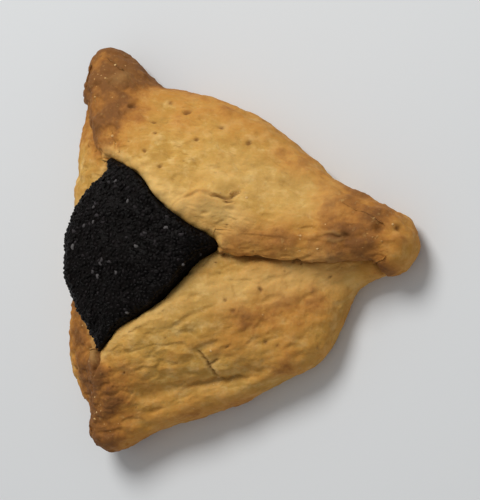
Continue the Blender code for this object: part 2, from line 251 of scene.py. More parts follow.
# Browning: (path in plan, width, strength). Tips, the ridge of the north fold and thin edges brown first.
NORTH_EDGE = ((-0.0130, 0.0310), (0.0000, 0.0270), (0.0120, 0.0220), (0.0220, 0.0140), (0.0290, 0.0070))
BROWNING = (
    (((-0.0205, 0.0330), (-0.0165, 0.0265)), 0.0120, 0.42),
    (((-0.0222, 0.0362), (-0.0216, 0.0300)), 0.0070, 0.40),
    (((-0.0250, 0.0330), (-0.0232, 0.0280), (-0.0205, 0.0235)), 0.0044, 0.36),
    (((-0.0204, 0.0262), (-0.0178, 0.0186)), 0.0050, 0.46),
    (((-0.0262, 0.0300), (-0.0245, 0.0365), (-0.0205, 0.0385), (-0.0155, 0.0345)), 0.0038, 0.74),
    (((0.0080, 0.0006), (0.0169, 0.0002), (0.0279, -0.0004)), 0.0036, 0.52),
    (((0.0235, 0.0016), (0.0330, 0.0005)), 0.0090, 0.34),
    (((0.0335, 0.0006), (0.0385, -0.0004)), 0.0066, 0.32),
    (((0.0372, 0.0020), (0.0383, -0.0016)), 0.0034, 0.22),
    (((-0.0212, -0.0345), (-0.0188, -0.0286)), 0.0072, 0.52),
    (((-0.0205, -0.0350), (-0.0001, -0.0304), (0.0139, -0.0264)), 0.0050, 0.45),
    (NORTH_EDGE, 0.0052, 0.52),
    (((0.0110, -0.0140), (0.0219, -0.0104)), 0.0066, 0.68),
    (((-0.0250, -0.0080), (-0.0242, -0.0170), (-0.0225, -0.0260)), 0.0046, 0.90),
    (((-0.0168, -0.0225), (-0.0130, -0.0240)), 0.0056, 0.30),
    (((-0.0190, -0.0185), (-0.0190, -0.0230)), 0.0018, 0.80),
)
# The edge of each lapping fold browns too: strength beside each seam, and how far in it reaches.
LAP_BROWNING = (0.50, 0.25, 0.30)
LAP_BROWNING_WIDTH = (0.0030, 0.0020, 0.0020)
# How the patches fade and wander, how much less a brown place takes, and the browning per metre of relief.
BROWNING_FALLOFF = 1.5
BROWNING_WANDER = 0.45
BROWNING_WANDER_LENGTH = 0.0055
BROWNING_OVERLAP = 0.6
RELIEF_BROWNING = 330
MOST_BROWNING = 1.4
UNDERSIDE_BROWNING = 0.7

# Paler places: (path in plan, width, strength), and each fold's edge at the opening. Browning hides them.
# Some of them are painted light, and the line along the edges is a painted highlight.
PALENESS_AND_PAINTED_LIGHT = (
    # Pale crust beside the opening, partly painted light on the swelling there.
    (((-0.0060, 0.0105), (0.0000, 0.0062), (0.0075, 0.0052), (0.0100, 0.0040)), 0.0028, 0.72),
    # Painted light on the south fold under the north fold's ridge, where the ridge's shadow falls.
    (((0.0060, -0.0090), (0.0130, -0.0068), (0.0240, -0.0060)), 0.0032, 0.50),
    (((-0.0100, -0.0130), (0.0010, -0.0100)), 0.0035, 0.25),
    # A painted highlight near the north-west tip.
    (((-0.0166, 0.0312), (-0.0155, 0.0314)), 0.0014, 0.22),
    (((0.0090, 0.0110), (0.0210, 0.0080)), 0.0050, 0.32),
)
PALENESS_WANDER_LENGTH = 0.0045
PALENESS_OFFSET = 0.2
# A painted highlight along each fold's rim just inside its crown: how pale, how far past the crown, and how
# sharp.
RIM_HIGHLIGHT = 0.45
RIM_HIGHLIGHT_PLACE = 0.1
RIM_HIGHLIGHT_SHARPNESS = 3
BROWNED_PALENESS = 0.45

# Seeds on the filling. About 1200 of the tries keep the spacing and become seeds. Their shape, and how deep
# they are sunk, are in lengths of a seed.
SEED_TRIES = 14000
SEED_SPACING = 0.00060
SEED_LENGTH = (0.00090, 0.00125)
SEED_PROPORTIONS = (0.5, 0.36, 0.30)
SEED_DENT_DEPTH = 0.45
SEED_DENT_WIDTH = 0.45
SEED_BEND = 0.30
SEED_SUNK = 0.13
SEED_SUNK_RANGE = (0.2, 1.6)
SEED_TILT = 0.45
SEED_RINGS = 5
SEED_SIDES = 8
SEED_FIRST_RING = 3
SEED_CELL = 0.00016

# Crumbs on the crust: most lie near these places in plan, within so far of them, and the rest anywhere.
CRUMB_COUNT = 90
CRUMB_RADIUS = (0.00010, 0.00030)
CRUMB_PLACES = (
    (0.0090, 0.0075, 0.0028),
    (0.0030, -0.0225, 0.0028),
    (0.0225, 0.0005, 0.0040),
    (0.0335, 0.0000, 0.0035),
    (-0.0185, 0.0310, 0.0040),
    (-0.0185, -0.0300, 0.0035),
)
CRUMB_SHARE = 0.65
CRUMB_LUMP_HEIGHT = 0.5
CRUMB_LUMP_LENGTH = 0.9
CRUMB_NOISE_SPREAD = 9.0
CRUMB_PROPORTIONS = ((0.8, 0.6, 0.45), (1.4, 1.0, 0.75))
CRUMB_SUNK = 0.30

# Colours: the crust from gold to brown, what varies it, and the other materials from dark to light.
GOLD = ((0.49, 0.268, 0.056, 1), (0.68, 0.400, 0.099, 1))
BLOTCHES = ((0.44, 0.225, 0.038, 1), (0.78, 0.52, 0.19, 1))
STREAKS = ((0.37, 0.195, 0.040, 1), (0.78, 0.51, 0.17, 1))
SPECKS = ((0.36, 0.18, 0.04, 1), (0.74, 0.48, 0.17, 1))
TOASTED = (0.53, 0.217, 0.040, 1)
BROWNED = (0.22, 0.090, 0.025, 1)
# The colour of pale crust, also used for painted light and painted highlights.
PALE_CRUST_AND_PAINTED_LIGHT = (0.80, 0.515, 0.18, 1)
# Painted shade: the colour that pits, cracks and creases are darkened towards.
PAINTED_SHADE_IN_HOLLOWS = (0.17, 0.070, 0.018, 1)
CRUMBS = ((0.48, 0.24, 0.070, 1), (0.76, 0.50, 0.22, 1))
PASTE = ((0.0016, 0.0012, 0.0010, 1), (0.0050, 0.0034, 0.0030, 1))
# Seed colours by a random pick: the last stops make a few seeds pale grey, as painted glints.
SEEDS_AND_GLINTS = (
    (0.0, (0.0021, 0.0015, 0.0013, 1)),
    (0.70, (0.0042, 0.0031, 0.0030, 1)),
    (0.95, (0.0095, 0.0072, 0.0076, 1)),
    (0.985, (0.034, 0.029, 0.031, 1)),
    (1.0, (0.12, 0.112, 0.112, 1)),
)
FLOOR = ((0.705, 0.730, 0.755, 1), (0.725, 0.750, 0.775, 1))

# Camera, at the photograph's viewing angle, and the light.
TILT_EAST = math.radians(26)
TILT_SOUTH = math.radians(6)
CAMERA_DISTANCE = 0.33
LOOK_AT = Vector((-0.0051, -0.0006, 0.0060))
FRAME_SHIFT = (0.0053, -0.0007)
FRAME_HEIGHT = 0.090
FLOOR_SIZE = 3.0
SURROUND_COLOUR = (1.0, 0.99, 0.975, 1.0)
SURROUND_STRENGTH = 0.345
LAMP_PLACE = (-0.10, 0.37, 0.53)
LAMP_SIZE = 0.30
LAMP_POWER = 3.0
LAMP_COLOUR = (1.0, 0.985, 0.96)
RANDOM_START = 7


def smoothstep(x):
    """A smooth step from 0 to 1, level at both ends."""
    x = np.clip(x, 0.0, 1.0)
    return x * x * (3 - 2 * x)


def unit(vectors):
    return vectors / np.maximum(np.linalg.norm(vectors, axis=-1, keepdims=True), 1e-12)


def smooth_through(values, share):
    """A smooth curve through values that are spaced evenly from 0 to 1."""
    values = np.array(values)
    last = len(values) - 1
    k = np.clip((share * last).astype(int), 0, last - 1)
    t = share * last - k
    start, end = values[k], values[k + 1]
    before, after = values[np.maximum(k - 1, 0)], values[np.minimum(k + 2, last)]
    bend = 2 * before - 5 * start + 4 * end - after + t * (3 * (start - end) + after - before)
    return start + 0.5 * t * (end - before + t * bend)


def side_shares():
    """How far along its side each line between two corners lies, closer together towards the corners."""
    even = np.arange(1, SIDE_LINES + 1) / (SIDE_LINES + 1)
    return even * (1 - CROWDING) + smoothstep(even) * CROWDING


def corner_shares(corner):
    """How far round its corner each corner line lies, closer together towards the seam."""
    even = np.linspace(0.0, 1.0, CORNER_LINES)
    seam_is_first = SEAMS[corner][1] > 0
    return even**SEAM_CROWDING if seam_is_first else 1 - (1 - even) ** SEAM_CROWDING


def side_middle(share, power, start):
    """How far the middle's value holds at a share of the way along a side: 0 at its ends, 1 in the middle."""
    least = start**power
    return ((math.sin(math.pi * share) ** 2 + start) ** power - least) / ((1 + start) ** power - least)


def around(values):
    """One value for each section line, from those at the corners and at the middles of the sides."""
    corners, sides = values
    made = []
    for k in range(3):
        made += [corners[k]] * CORNER_LINES
        for share in side_shares():
            middle = side_middle(share, SIDE_BREADTH[k] / 2, SIDE_START[k] ** 2)
            nearest = corners[k] if share < 0.5 else corners[(k + 1) % 3]
            made.append(nearest + (sides[k] - nearest) * middle)
    return np.array(made)


def side_curve(start, end, radii, swell):
    """Points and outward normals along one side of a three-cornered outline."""
    chord = end - start
    outward = unit(np.array((chord[1], -chord[0])))
    share = np.linspace(0.0, 1.0, CURVE_POINTS)
    spine = start + chord * share[:, None] + outward * smooth_through((0.0, *swell, 0.0), share)[:, None]
    step = np.gradient(spine, axis=0)
    normals = unit(np.column_stack((step[:, 1], -step[:, 0])))
    radius = radii[0] + (radii[1] - radii[0]) * share
    return spine + normals * radius[:, None], normals


def corner_curve(tip, radius, before, after):
    """Points and outward normals round one tip, turning from one side's normal to the next one's."""
    turn = np.linspace(0.0, 1.0, CURVE_POINTS)[:, None]
    normals = unit(before * (1 - turn) + after * turn)
    return tip + radius * normals, normals


def three_cornered(tips, radii, swells, reach):
    """Points and outward normals, at each section line, of a rounded outline with three corners."""
    tips = [np.array(tip) for tip in tips]
    sides = [
        side_curve(tips[k], tips[(k + 1) % 3], (radii[k], radii[(k + 1) % 3]), swells[k]) for k in range(3)
    ]
    curves = []
    for k in range(3):
        curves += [corner_curve(tips[k], radii[k], sides[k - 1][1][-1], sides[k][1][0]), sides[k]]
    points = np.vstack([curve[0] for curve in curves] + [curves[0][0][:1]])
    normals = np.vstack([curve[1] for curve in curves] + [curves[0][1][:1]])
    passed = np.concatenate(((0.0,), np.cumsum(np.linalg.norm(np.diff(points, axis=0), axis=1))))
    places = []
    for k in range(3):
        start = passed[2 * k * CURVE_POINTS] - reach[k][0]
        end = passed[(2 * k + 1) * CURVE_POINTS - 1] + reach[k][1]
        following = passed[2 * (k + 1) * CURVE_POINTS] - reach[(k + 1) % 3][0]
        places += list(start + (end - start) * corner_shares(k))
        places += list(end + (following - end) * side_shares())
    places = np.array(places) % passed[-1]
    along = [np.interp(places, passed, column) for column in (*points.T, *normals.T)]
    return np.column_stack(along[:2]) + PLAN_SHIFT, unit(np.column_stack(along[2:]))


def plan_of(points):
    """The points' places in the plan that the sizes are stated in."""
    return points[..., :2] - PLAN_SHIFT


def ring(plan, height):
    """A ring of points, one for each section line, at one height or at a height for each line."""
    return np.column_stack((plan, np.broadcast_to(height, len(plan))))


OUTSIDE, OUTSIDE_NORMALS = three_cornered(TIPS, TIP_RADIUS, SIDE_SWELL, TIP_REACH)
OPENING, OPENING_NORMALS = three_cornered(OPENING_CORNERS, OPENING_RADIUS, OPENING_SWELL, OPENING_REACH)
SHOULDER = OUTSIDE - OUTSIDE_NORMALS * (around(SHOULDER_DEPTH) * (1 - math.cos(SHOULDER_TURN)))[:, None]


def outer_rings():
    """The outside of the dough, from the underside's edge to the crown of the rim."""
    widest = around(WIDEST_HEIGHT)
    rings = []
    for i in range(TUCK_RINGS + 1):
        turn = -math.pi / 2 * (1 - i / TUCK_RINGS)
        inward = BASE_TUCK * (1 - math.cos(turn))
        rings.append(ring(OUTSIDE - OUTSIDE_NORMALS * inward, widest * (1 + math.sin(turn))))
    rise, depth = around(SHOULDER_RISE), around(SHOULDER_DEPTH)
    for i in range(1, SHOULDER_RINGS + 1):
        turn = SHOULDER_TURN * i / SHOULDER_RINGS
        inward = OUTSIDE_NORMALS * (depth * (1 - math.cos(turn)))[:, None]
        rings.append(ring(OUTSIDE - inward, widest + rise * math.sin(turn)))
    return rings + slope_rings(rings[-1])


def slope_rings(shoulder):
    """The smooth slope of each fold, from its shoulder up to the crown of the rim."""
    crown = ring(OPENING + OPENING_NORMALS * around(RIM_RADIUS)[:, None], around(RIM_HEIGHT))
    way = crown[:, :2] - shoulder[:, :2]
    run = np.linalg.norm(way, axis=1)
    sideways = unit(np.column_stack((-way[:, 1], way[:, 0]))) * -around(SECTION_BOW)[:, None]
    steepness = around(SHOULDER_RISE) / (around(SHOULDER_DEPTH) * math.tan(SHOULDER_TURN))
    start_slope = run * np.minimum(steepness, STEEPEST_SLOPE)
    end_slope = run * RIM_SLOPE
    rings = []
    for i in range(1, SLOPE_RINGS + 1):
        t = i / SLOPE_RINGS
        height = shoulder[:, 2] + (crown[:, 2] - shoulder[:, 2]) * smoothstep(t)
        height = height + start_slope * t * (1 - t) ** 2 - end_slope * t**2 * (1 - t)
        rings.append(ring(shoulder[:, :2] + way * t + sideways * 4 * t * (1 - t), height))
    return rings


def cavity_rings(first_turn, rim_lift):
    """The inside of the dough, from the rounded rim and under the folds to the cavity's floor.

    A turn of 90 degrees on the rim is its crown, and 0 faces the opening."""
    radius = around(RIM_RADIUS)
    last_turn = around(RIM_UNDERSIDE_TURN)
    rings = []
    for i in range(RIM_RINGS + 1):
        turn = np.radians(first_turn + (last_turn - first_turn) * i / RIM_RINGS)
        plan = OPENING + OPENING_NORMALS * (radius * (1 - np.cos(turn)))[:, None]
        rings.append(ring(plan, around(RIM_HEIGHT) + rim_lift - radius * (1 - np.sin(turn))))
    underside = rings[-1]
    edge_plan = underside[:, :2] + (SHOULDER - underside[:, :2]) * around(CAVITY_SHARE)[:, None]
    edge = ring(edge_plan, FLOOR_HEIGHT + CAVITY_EDGE_RISE)
    rings += [underside + (edge - underside) * i / CEILING_RINGS for i in range(1, CEILING_RINGS + 1)]
    foot_plan = edge_plan + (CENTRE - edge_plan) * CAVITY_FOOT_SHARE
    rings.append(ring(foot_plan, FLOOR_HEIGHT))
    return rings


def closing_rings(edge, count):
    """Flat rings from an edge towards the centre, on the underside or the floor."""
    inward = CENTRE - edge[:, :2]
    return [ring(edge[:, :2] + inward * i / (count + 1), edge[:, 2]) for i in range(1, count + 1)]


def grid_normals(grid):
    """Outward unit normals of a grid of rings."""
    along = np.roll(grid, -1, axis=1) - np.roll(grid, 1, axis=1)
    return unit(np.cross(along, np.gradient(grid, axis=0)))


def nearest_on_path(points, path):
    """For each point: its distance in plan to a path of straight stretches, the nearest place on the path,
    and that place's share of the way along."""
    path = np.array(path)
    distance = np.full(points.shape[:-1], np.inf)
    nearest = np.zeros_like(points)
    along = np.zeros(points.shape[:-1])
    passed = np.concatenate(((0.0,), np.cumsum(np.linalg.norm(np.diff(path, axis=0), axis=1))))
    for start, end, before, after in zip(path[:-1], path[1:], passed[:-1], passed[1:]):
        way = end - start
        share = np.clip((points - start) @ way / max(way @ way, 1e-18), 0.0, 1.0)
        place = start + share[..., None] * way
        away = np.linalg.norm(points - place, axis=-1)
        closer = away < distance
        distance = np.where(closer, away, distance)
        nearest = np.where(closer[..., None], place, nearest)
        along = np.where(closer, before + share * (after - before), along)
    return distance, nearest, along / passed[-1]


def noise_at(points, size, octaves=1):
    """Smooth noise of about -1 to 1 at each point. The size is one length, or one along each axis."""
    scaled = points.reshape(-1, 3) / np.array(size)
    if octaves > 1:
        values = [noise.fractal(Vector(point), 1.0, 2.0, octaves) for point in scaled]
    else:
        values = [noise.noise(Vector(point)) for point in scaled]
    return np.array(values).reshape(points.shape[:-1])


def tapered(along, end):
    """1 in the middle of a path and less towards its ends, but never less than at that share from them."""
    return np.sqrt(np.sin(math.pi * np.clip(along, end, 1 - end)))


def turned(points, bearing):
    """The points with their plan turned, so that x runs along the bearing."""
    cos, sin = math.cos(bearing), math.sin(bearing)
    x, y, z = np.moveaxis(points, -1, 0)
    return np.stack((x * cos + y * sin, y * cos - x * sin, z), axis=-1)


def outer_weights():
    """How much of the seams, and of the baked lumps, each outer ring takes."""
    count = TUCK_RINGS + 1 + SHOULDER_RINGS + SLOPE_RINGS
    tucked = np.arange(TUCK_RINGS) / TUCK_RINGS * SEAM_AT_EDGE
    shoulder = smoothstep(np.arange(SHOULDER_RINGS + 1) / SHOULDER_RINGS) * (1 - SEAM_AT_EDGE) + SEAM_AT_EDGE
    seams = np.concatenate((tucked, shoulder, np.ones(SLOPE_RINGS)))[:, None]
    from_base = np.arange(count) / TUCK_RINGS
    to_rim = (count - 1 - np.arange(count)) / (SLOPE_RINGS * RELIEF_FADE_SHARE)
    return seams, np.minimum(np.minimum(from_base, to_rim), 1.0)[:, None]


def fold_laps(outer):
    """The step up to each lapping fold, how far its rounded edge hangs out over its neighbour, the crease
    below it, and how brown its edge is."""
    step_up = np.zeros(outer.shape[:2])
    hang = np.zeros((*outer.shape[:2], 2))
    crease = np.zeros(outer.shape[:2])
    browned = np.zeros(outer.shape[:2])
    plan = outer[:, :, :2]
    lines = np.arange(outer.shape[1])
    from_rim = np.linalg.norm(plan - plan[-1], axis=-1)
    clear_of_rim = smoothstep(from_rim / OVERHANG_FROM_RIM)
    for k, (line, over_side) in enumerate(SEAMS):
        step = SEAM_STEP[k]
        distance, nearest, along = nearest_on_path(plan, outer[TUCK_RINGS::PATH_STEP, line, :2])
        steps_over = (lines - line) * over_side % len(lines)
        over = (steps_over > 0) & (steps_over < len(lines) // 3)
        rounded = np.sqrt(1 - (1 - np.clip(distance / SEAM_ROUNDING, 0.0, 1.0)) ** 2)
        faded = np.exp(-((np.maximum(distance - SEAM_ROUNDING, 0.0) / SEAM_FADE) ** 2))
        step_up += np.where(over, step * rounded * faded, 0.0)
        share = distance / SEAM_ROUNDING
        nose = smoothstep(share / OVERHANG_NOSE) * (1 - smoothstep((share - OVERHANG_NOSE) / OVERHANG_BACK))
        wave = 1 + LAP_WAVE * noise_at(np.dstack((nearest, np.zeros(distance.shape))), LAP_WAVE_LENGTH)
        reach = np.where(over, OVERHANG * nose * wave, 0.0) * clear_of_rim
        hang += unit(nearest - plan) * (reach * smoothstep(along / OVERHANG_FROM_FOOT))[..., None]
        at_foot = np.exp(-((np.where(over, step * rounded, 0.0) / CREASE_HEIGHT) ** 2))
        line_of_crease = np.exp(-((distance / CREASE_WIDTH[k]) ** 2)) * at_foot
        crease += line_of_crease * smoothstep(from_rim / CREASE_FROM_RIM[k])
        edge = np.exp(-((distance / LAP_BROWNING_WIDTH[k]) ** 2))
        browned += np.where(over, LAP_BROWNING[k] * edge, 0.0)
    return step_up, hang, np.minimum(crease, 1.0), browned


def baked_lumps(outer):
    """The lumps, long wrinkles and long crack that the solids have too."""
    relief = LUMP_HEIGHT * noise_at(outer, LUMP_LENGTH, 2)
    relief += WRINKLE_HEIGHT * noise_at(outer, (WRINKLE_LENGTH, WRINKLE_WIDTH, WRINKLE_WIDTH))
    distance, _, _ = nearest_on_path(plan_of(outer), CRACK)
    return relief, CRACK_DEPTH * np.exp(-((distance / CRACK_WIDTH) ** 2))


def fine_relief(points):
    """Dimples, fine folds, crumb and swellings of the crust, as heights along the normals."""
    south = smoothstep((CENTRE[1] - points[..., 1]) / GRAIN_BLEND * 0.5 + 0.5)
    sides = ((1 - south, turned(points, NORTH_GRAIN), NORTH_FOLDS), (south, turned(points, SOUTH_GRAIN), 1.0))
    relief = np.zeros(points.shape[:-1])
    for share, grained, fold_share in sides:
        for height, along, across in DIMPLES:
            relief += height * share * noise_at(grained, (along, across, across))
        height, along, across = FOLDS
        folds = np.abs(noise_at(grained + FOLD_OFFSET, (along, across, across * 2)))
        relief -= height * share * fold_share * (1 - smoothstep(folds / FOLD_SHARPNESS))
        height, along, across = DENTS
        dents = noise_at(grained + DENT_OFFSET, (along, across, across))
        relief -= height * share * smoothstep((dents - DENT_FROM) / DENT_SHARPNESS)
    for height, size in CRUMB_SIZES:
        relief += height * noise_at(points, size, 2)
    distance, nearest, along = nearest_on_path(plan_of(points), SWELLING)
    reach = np.where(plan_of(points)[..., 1] < nearest[..., 1], *SWELLING_REACH)
    return relief + SWELLING_HEIGHT * tapered(along, SWELLING_END) * np.exp(-((distance / reach) ** 2))


def pit_places(points, random):
    """Place and radius of every pit: the named ones, and those scattered over the outside."""
    outside = points[TUCK_RINGS:-RIM_RINGS].reshape(-1, 3)
    for x, y, radius in PITS:
        yield outside[np.argmin(np.linalg.norm(plan_of(outside) - (x, y), axis=1))], radius
    for index in random.integers(0, len(outside), SCATTERED_PITS):
        yield outside[index], random.uniform(*SCATTERED_PIT_RADIUS)


def cracks_and_pits(points, random):
    """Depth of the cracks and pits, how much painted shade each point takes for lying in one of them, from 0
    to 1, and how pale for lying on a crack's raised lip."""
    wander = [noise_at(points + offset, CRACK_WANDER_LENGTH, 3) for offset in CRACK_WANDER_OFFSETS]
    wandered = points + CRACK_WANDER * np.stack(wander, axis=-1)
    depth = np.zeros(points.shape[:-1])
    dark = np.zeros(points.shape[:-1])
    pale = np.zeros(points.shape[:-1])
    for deep, width, darkness, lip_share, path in CRACKS:
        distance, _, along = nearest_on_path(plan_of(wandered), path)
        taper = tapered(along, CRACK_END)
        profile = np.exp(-((distance / (width * taper)) ** 2))
        lip = np.exp(-((distance / (width * taper) - CRACK_LIP_PLACE) ** 2)) * lip_share * taper
        depth = np.maximum(depth, deep * taper * profile) - deep * CRACK_LIP * lip
        # Painted shade in the crack, strongest along its middle.
        dark = np.maximum(dark, darkness * taper * profile**2)
        pale = np.maximum(pale, CRACK_LIP_PALENESS * lip)
    for place, radius in pit_places(points, random):
        near = np.abs(points - place).max(axis=-1) < PIT_REACH * radius
        distance = np.linalg.norm(wandered[near] - place, axis=-1)
        profile = np.exp(-((distance / radius) ** PIT_FALLOFF))
        depth[near] = np.maximum(depth[near], PIT_DEPTH * radius * profile)
        # Painted shade in the pit.
        dark[near] = np.maximum(dark[near], PIT_SHADE * profile)
    return depth, dark, pale


def browning_of(points, edges, relief):
    """How brown the crust is, from 0 to about 1: patches with ragged edges, and more on what stands proud."""
    wander = 1 + BROWNING_WANDER * noise_at(points, BROWNING_WANDER_LENGTH, 3)
    brown = edges * wander
    for path, width, strength in BROWNING:
        distance, _, _ = nearest_on_path(plan_of(points), path)
        patch = strength * np.exp(-((distance * wander / width) ** BROWNING_FALLOFF))
        brown = brown + patch * (1 - BROWNING_OVERLAP * brown)
    return np.clip(brown + relief * RELIEF_BROWNING, 0.0, MOST_BROWNING)


def smooth_mesh(name, vertices, faces):
    mesh = bpy.data.meshes.new(name)
    mesh.from_pydata(vertices.tolist(), [], faces)
    mesh.update()
    mesh.shade_smooth()
    return mesh


def closed_mesh(name, rings, first_pole, last_pole):
    """A mesh of the rings, closed by a point at each end of the sections."""
    grid = np.array(rings)
    count, lines = grid.shape[:2]
    vertices = np.vstack((grid.reshape(-1, 3), first_pole, last_pole))
    first, last = count * lines, count * lines + 1
    top = (count - 1) * lines
    here = np.arange(lines)
    following = (here + 1) % lines
    faces = [(first, b, a) for a, b in zip(here, following)]
    faces += [(last, top + a, top + b) for a, b in zip(here, following)]
    rows = np.arange(count - 1)[:, None] * lines
    quads = np.stack((rows + here, rows + following, rows + lines + following, rows + lines + here), axis=-1)
    faces += quads.reshape(-1, 4).tolist()
    return smooth_mesh(name, vertices, faces)


def add_attribute(mesh, name, values):
    """Stores one number for each vertex, for the material to read. Missing ones at the end are 0."""
    padded = np.zeros(len(mesh.vertices), np.float32)
    padded[: values.size] = values.reshape(-1)
    mesh.attributes.new(name, "FLOAT", "POINT").data.foreach_set("value", padded)


def add_object(name, mesh, material):
    mesh.materials.append(material)
    made = bpy.data.objects.new(name, mesh)
    bpy.context.scene.collection.objects.link(made)
    return made


def paleness_and_painted_light_of(points, crown):
    """How pale the crust is, from 0 to 1, beside named paths, some of them painted light, and along the crown
    of the rim, where it is a painted highlight.
    """
    wander = 1 + BROWNING_WANDER * noise_at(points + PALENESS_OFFSET, PALENESS_WANDER_LENGTH, 3)
    from_crown = (np.arange(len(points))[:, None] - crown) / RIM_RINGS - RIM_HIGHLIGHT_PLACE
    # A painted highlight along the rim, just past its crown.
    pale = RIM_HIGHLIGHT * np.exp(-((from_crown * RIM_HIGHLIGHT_SHARPNESS * wander) ** 2))
    for path, width, strength in PALENESS_AND_PAINTED_LIGHT:
        distance, _, _ = nearest_on_path(plan_of(points), path)
        pale = np.maximum(pale, strength * np.exp(-((distance * wander / width) ** 2)))
    return pale


def down_to_rim(values):
    """Values of the outer rings, with zeros for the rings round the rim."""
    return np.vstack((values, np.zeros((RIM_RINGS, values.shape[1]))))


def make_dough(random):
    """The dough with all its relief. Returns it, how far the seams lift the rim, and the rings that show."""
    outer = np.array(outer_rings())
    seam_weight, lump_weight = outer_weights()
    step_up, hang, crease, edges = fold_laps(outer)
    lumps, long_crack = baked_lumps(outer)
    slope = np.arange(len(outer)) - (TUCK_RINGS + SHOULDER_RINGS)
    upright = smoothstep(slope / SLOPE_RINGS)[:, None, None]
    normals = grid_normals(outer)
    lift_way = unit(normals * (1 - upright) + np.array((0.0, 0.0, 1.0)) * upright)
    lifted = outer + lift_way * (step_up * seam_weight)[..., None]
    lifted = lifted + normals * ((lumps - long_crack) * lump_weight)[..., None]
    lifted[..., :2] += hang * seam_weight[..., None]
    rim_lift = (step_up * seam_weight)[-1]

    inner = cavity_rings(90.0, rim_lift)[1:]
    shown = np.array([*lifted, *inner[:RIM_RINGS]])
    fade = np.ones(len(shown))
    fade[: TUCK_RINGS + 1] = np.arange(TUCK_RINGS + 1) / TUCK_RINGS
    fade[-RIM_RINGS:] = 1 - np.arange(1, RIM_RINGS + 1) / RIM_RINGS * RIM_FADE
    small = fine_relief(shown)
    depth, inside, pale = cracks_and_pits(shown, random)
    crease = down_to_rim(crease * seam_weight**CREASE_FADE)
    brown = browning_of(shown, down_to_rim(edges), down_to_rim(lumps) + small)
    height, size = BLISTERS
    small += height * np.minimum(brown, 1.0) * noise_at(shown, size, 3)
    total = (small - depth - CREASE_DEPTH * crease) * fade[:, None]
    shown = shown + grid_normals(shown) * total[..., None]
    # Pale crack lips, pale crust, painted light and painted highlights.
    pale = np.maximum(pale, paleness_and_painted_light_of(shown, len(outer) - 1))
    pale = pale * (1 - BROWNED_PALENESS * np.minimum(brown, 1.0))

    underside = closing_rings(shown[0], UNDERSIDE_RINGS)[::-1]
    floor = closing_rings(inner[-1], FLOOR_RINGS)
    rings = [*underside, *shown, *inner[RIM_RINGS:], *floor]
    mesh = closed_mesh("dough_crust", rings, (*CENTRE, 0.0), (*CENTRE, FLOOR_HEIGHT))
    below = np.zeros((UNDERSIDE_RINGS, shown.shape[1]))
    add_attribute(mesh, "browning", np.vstack((below + UNDERSIDE_BROWNING, brown)))
    # Painted shade in the pits, cracks and creases.
    add_attribute(mesh, "hollow_shade", np.vstack((below, np.maximum(inside, crease * CREASE_SHADE))))
    add_attribute(mesh, "pale", np.vstack((below, pale)))
    return add_object("dough_crust", mesh, crust_material()), rim_lift, shown[TUCK_RINGS:]


def dome_rings(start):
    """The filling's top from where it leaves the rim: it bulges out, then closes in and gets rounder."""
    out = start[:, :2] - CENTRE
    reach = np.linalg.norm(out, axis=1)
    bearing = np.unwrap(np.arctan2(out[:, 1], out[:, 0]))
    even = np.linspace(0.0, 2 * math.pi, len(bearing), endpoint=False)
    even = even + np.mean(bearing - even)
    slump = around(FILLING_SLUMP)
    rings = []
    for i in range(1, DOME_RINGS + 1):
        t = i / (DOME_RINGS + 1)
        rounder = smoothstep(t * DOME_ROUNDING)
        radius = (reach * (1 - rounder) + FILLING_ROUND * rounder) * (1 - t**DOME_CLOSING)
        radius = radius + slump * math.sin(math.pi * min(1.0, t / DOME_SLUMP_REACH))
        rise = (1 - (1 - t) ** DOME_RISE[0]) ** DOME_RISE[1]
        turn = bearing * (1 - rounder) + even * rounder
        plan = CENTRE + np.column_stack((np.cos(turn), np.sin(turn))) * radius[:, None]
        rings.append(ring(plan, start[:, 2] + (FILLING_TOP - start[:, 2]) * rise))
    return rings


def make_filling(rim_lift):
    """The poppy-seed paste. Returns it, and the points and normals of its dome."""
    against = np.array(cavity_rings(around(FILLING_CONTACT_TURN), rim_lift))
    against = against + grid_normals(against) * FILLING_GAP
    against[-1, :, 2] = FLOOR_HEIGHT + FILLING_GAP
    bottom = closing_rings(against[-1], FLOOR_RINGS)[::-1]
    dome = np.array(dome_rings(against[0]))
    top = np.vstack((against[:1], dome))
    lumps = FILLING_LUMP_HEIGHT * noise_at(dome, FILLING_LUMP_LENGTH, 2)
    lumps = lumps + FILLING_CLOT_HEIGHT * noise_at(dome, FILLING_CLOT_LENGTH, 3)
    dome = dome + grid_normals(top)[1:] * lumps[..., None]
    grid = np.array([*bottom, *against[::-1], *dome])[:, ::FILLING_LINE_STEP]
    mesh = closed_mesh("poppy_paste", grid, (*CENTRE, FLOOR_HEIGHT + FILLING_GAP), (*CENTRE, FILLING_TOP))
    top = dome[SEED_FIRST_RING:, ::FILLING_LINE_STEP]
    return add_object("poppy_paste", mesh, paste_material()), top, grid_normals(top)


def seed_shape():
    """A poppy seed of unit length: a kidney with a dent in the middle of one side."""
    points = [(0.0, 0.0, 1.0)]
    for i in range(1, SEED_RINGS + 1):
        turn = math.pi * i / (SEED_RINGS + 1)
        for j in range(SEED_SIDES):
            round_it = 2 * math.pi * j / SEED_SIDES
            flat = (math.cos(round_it) * math.sin(turn), math.sin(round_it) * math.sin(turn))
            points.append((*flat, math.cos(turn)))
    points.append((0.0, 0.0, -1.0))
    x, y, z = np.array(points).T
    dent = SEED_DENT_DEPTH * np.exp(-((x / SEED_DENT_WIDTH) ** 2)) * np.maximum(y, 0.0)
    vertices = np.column_stack((x, y - dent + SEED_BEND * x * x, z)) * SEED_PROPORTIONS
    faces = []
    last = len(points) - 1
    bottom = last - SEED_SIDES
    for j in range(SEED_SIDES):
        k = (j + 1) % SEED_SIDES
        faces.append((0, 1 + j, 1 + k))
        faces.append((last, bottom + k, bottom + j))
        for i in range(SEED_RINGS - 1):
            here = 1 + i * SEED_SIDES
            faces.append((here + j, here + SEED_SIDES + j, here + SEED_SIDES + k, here + k))
    return vertices, faces


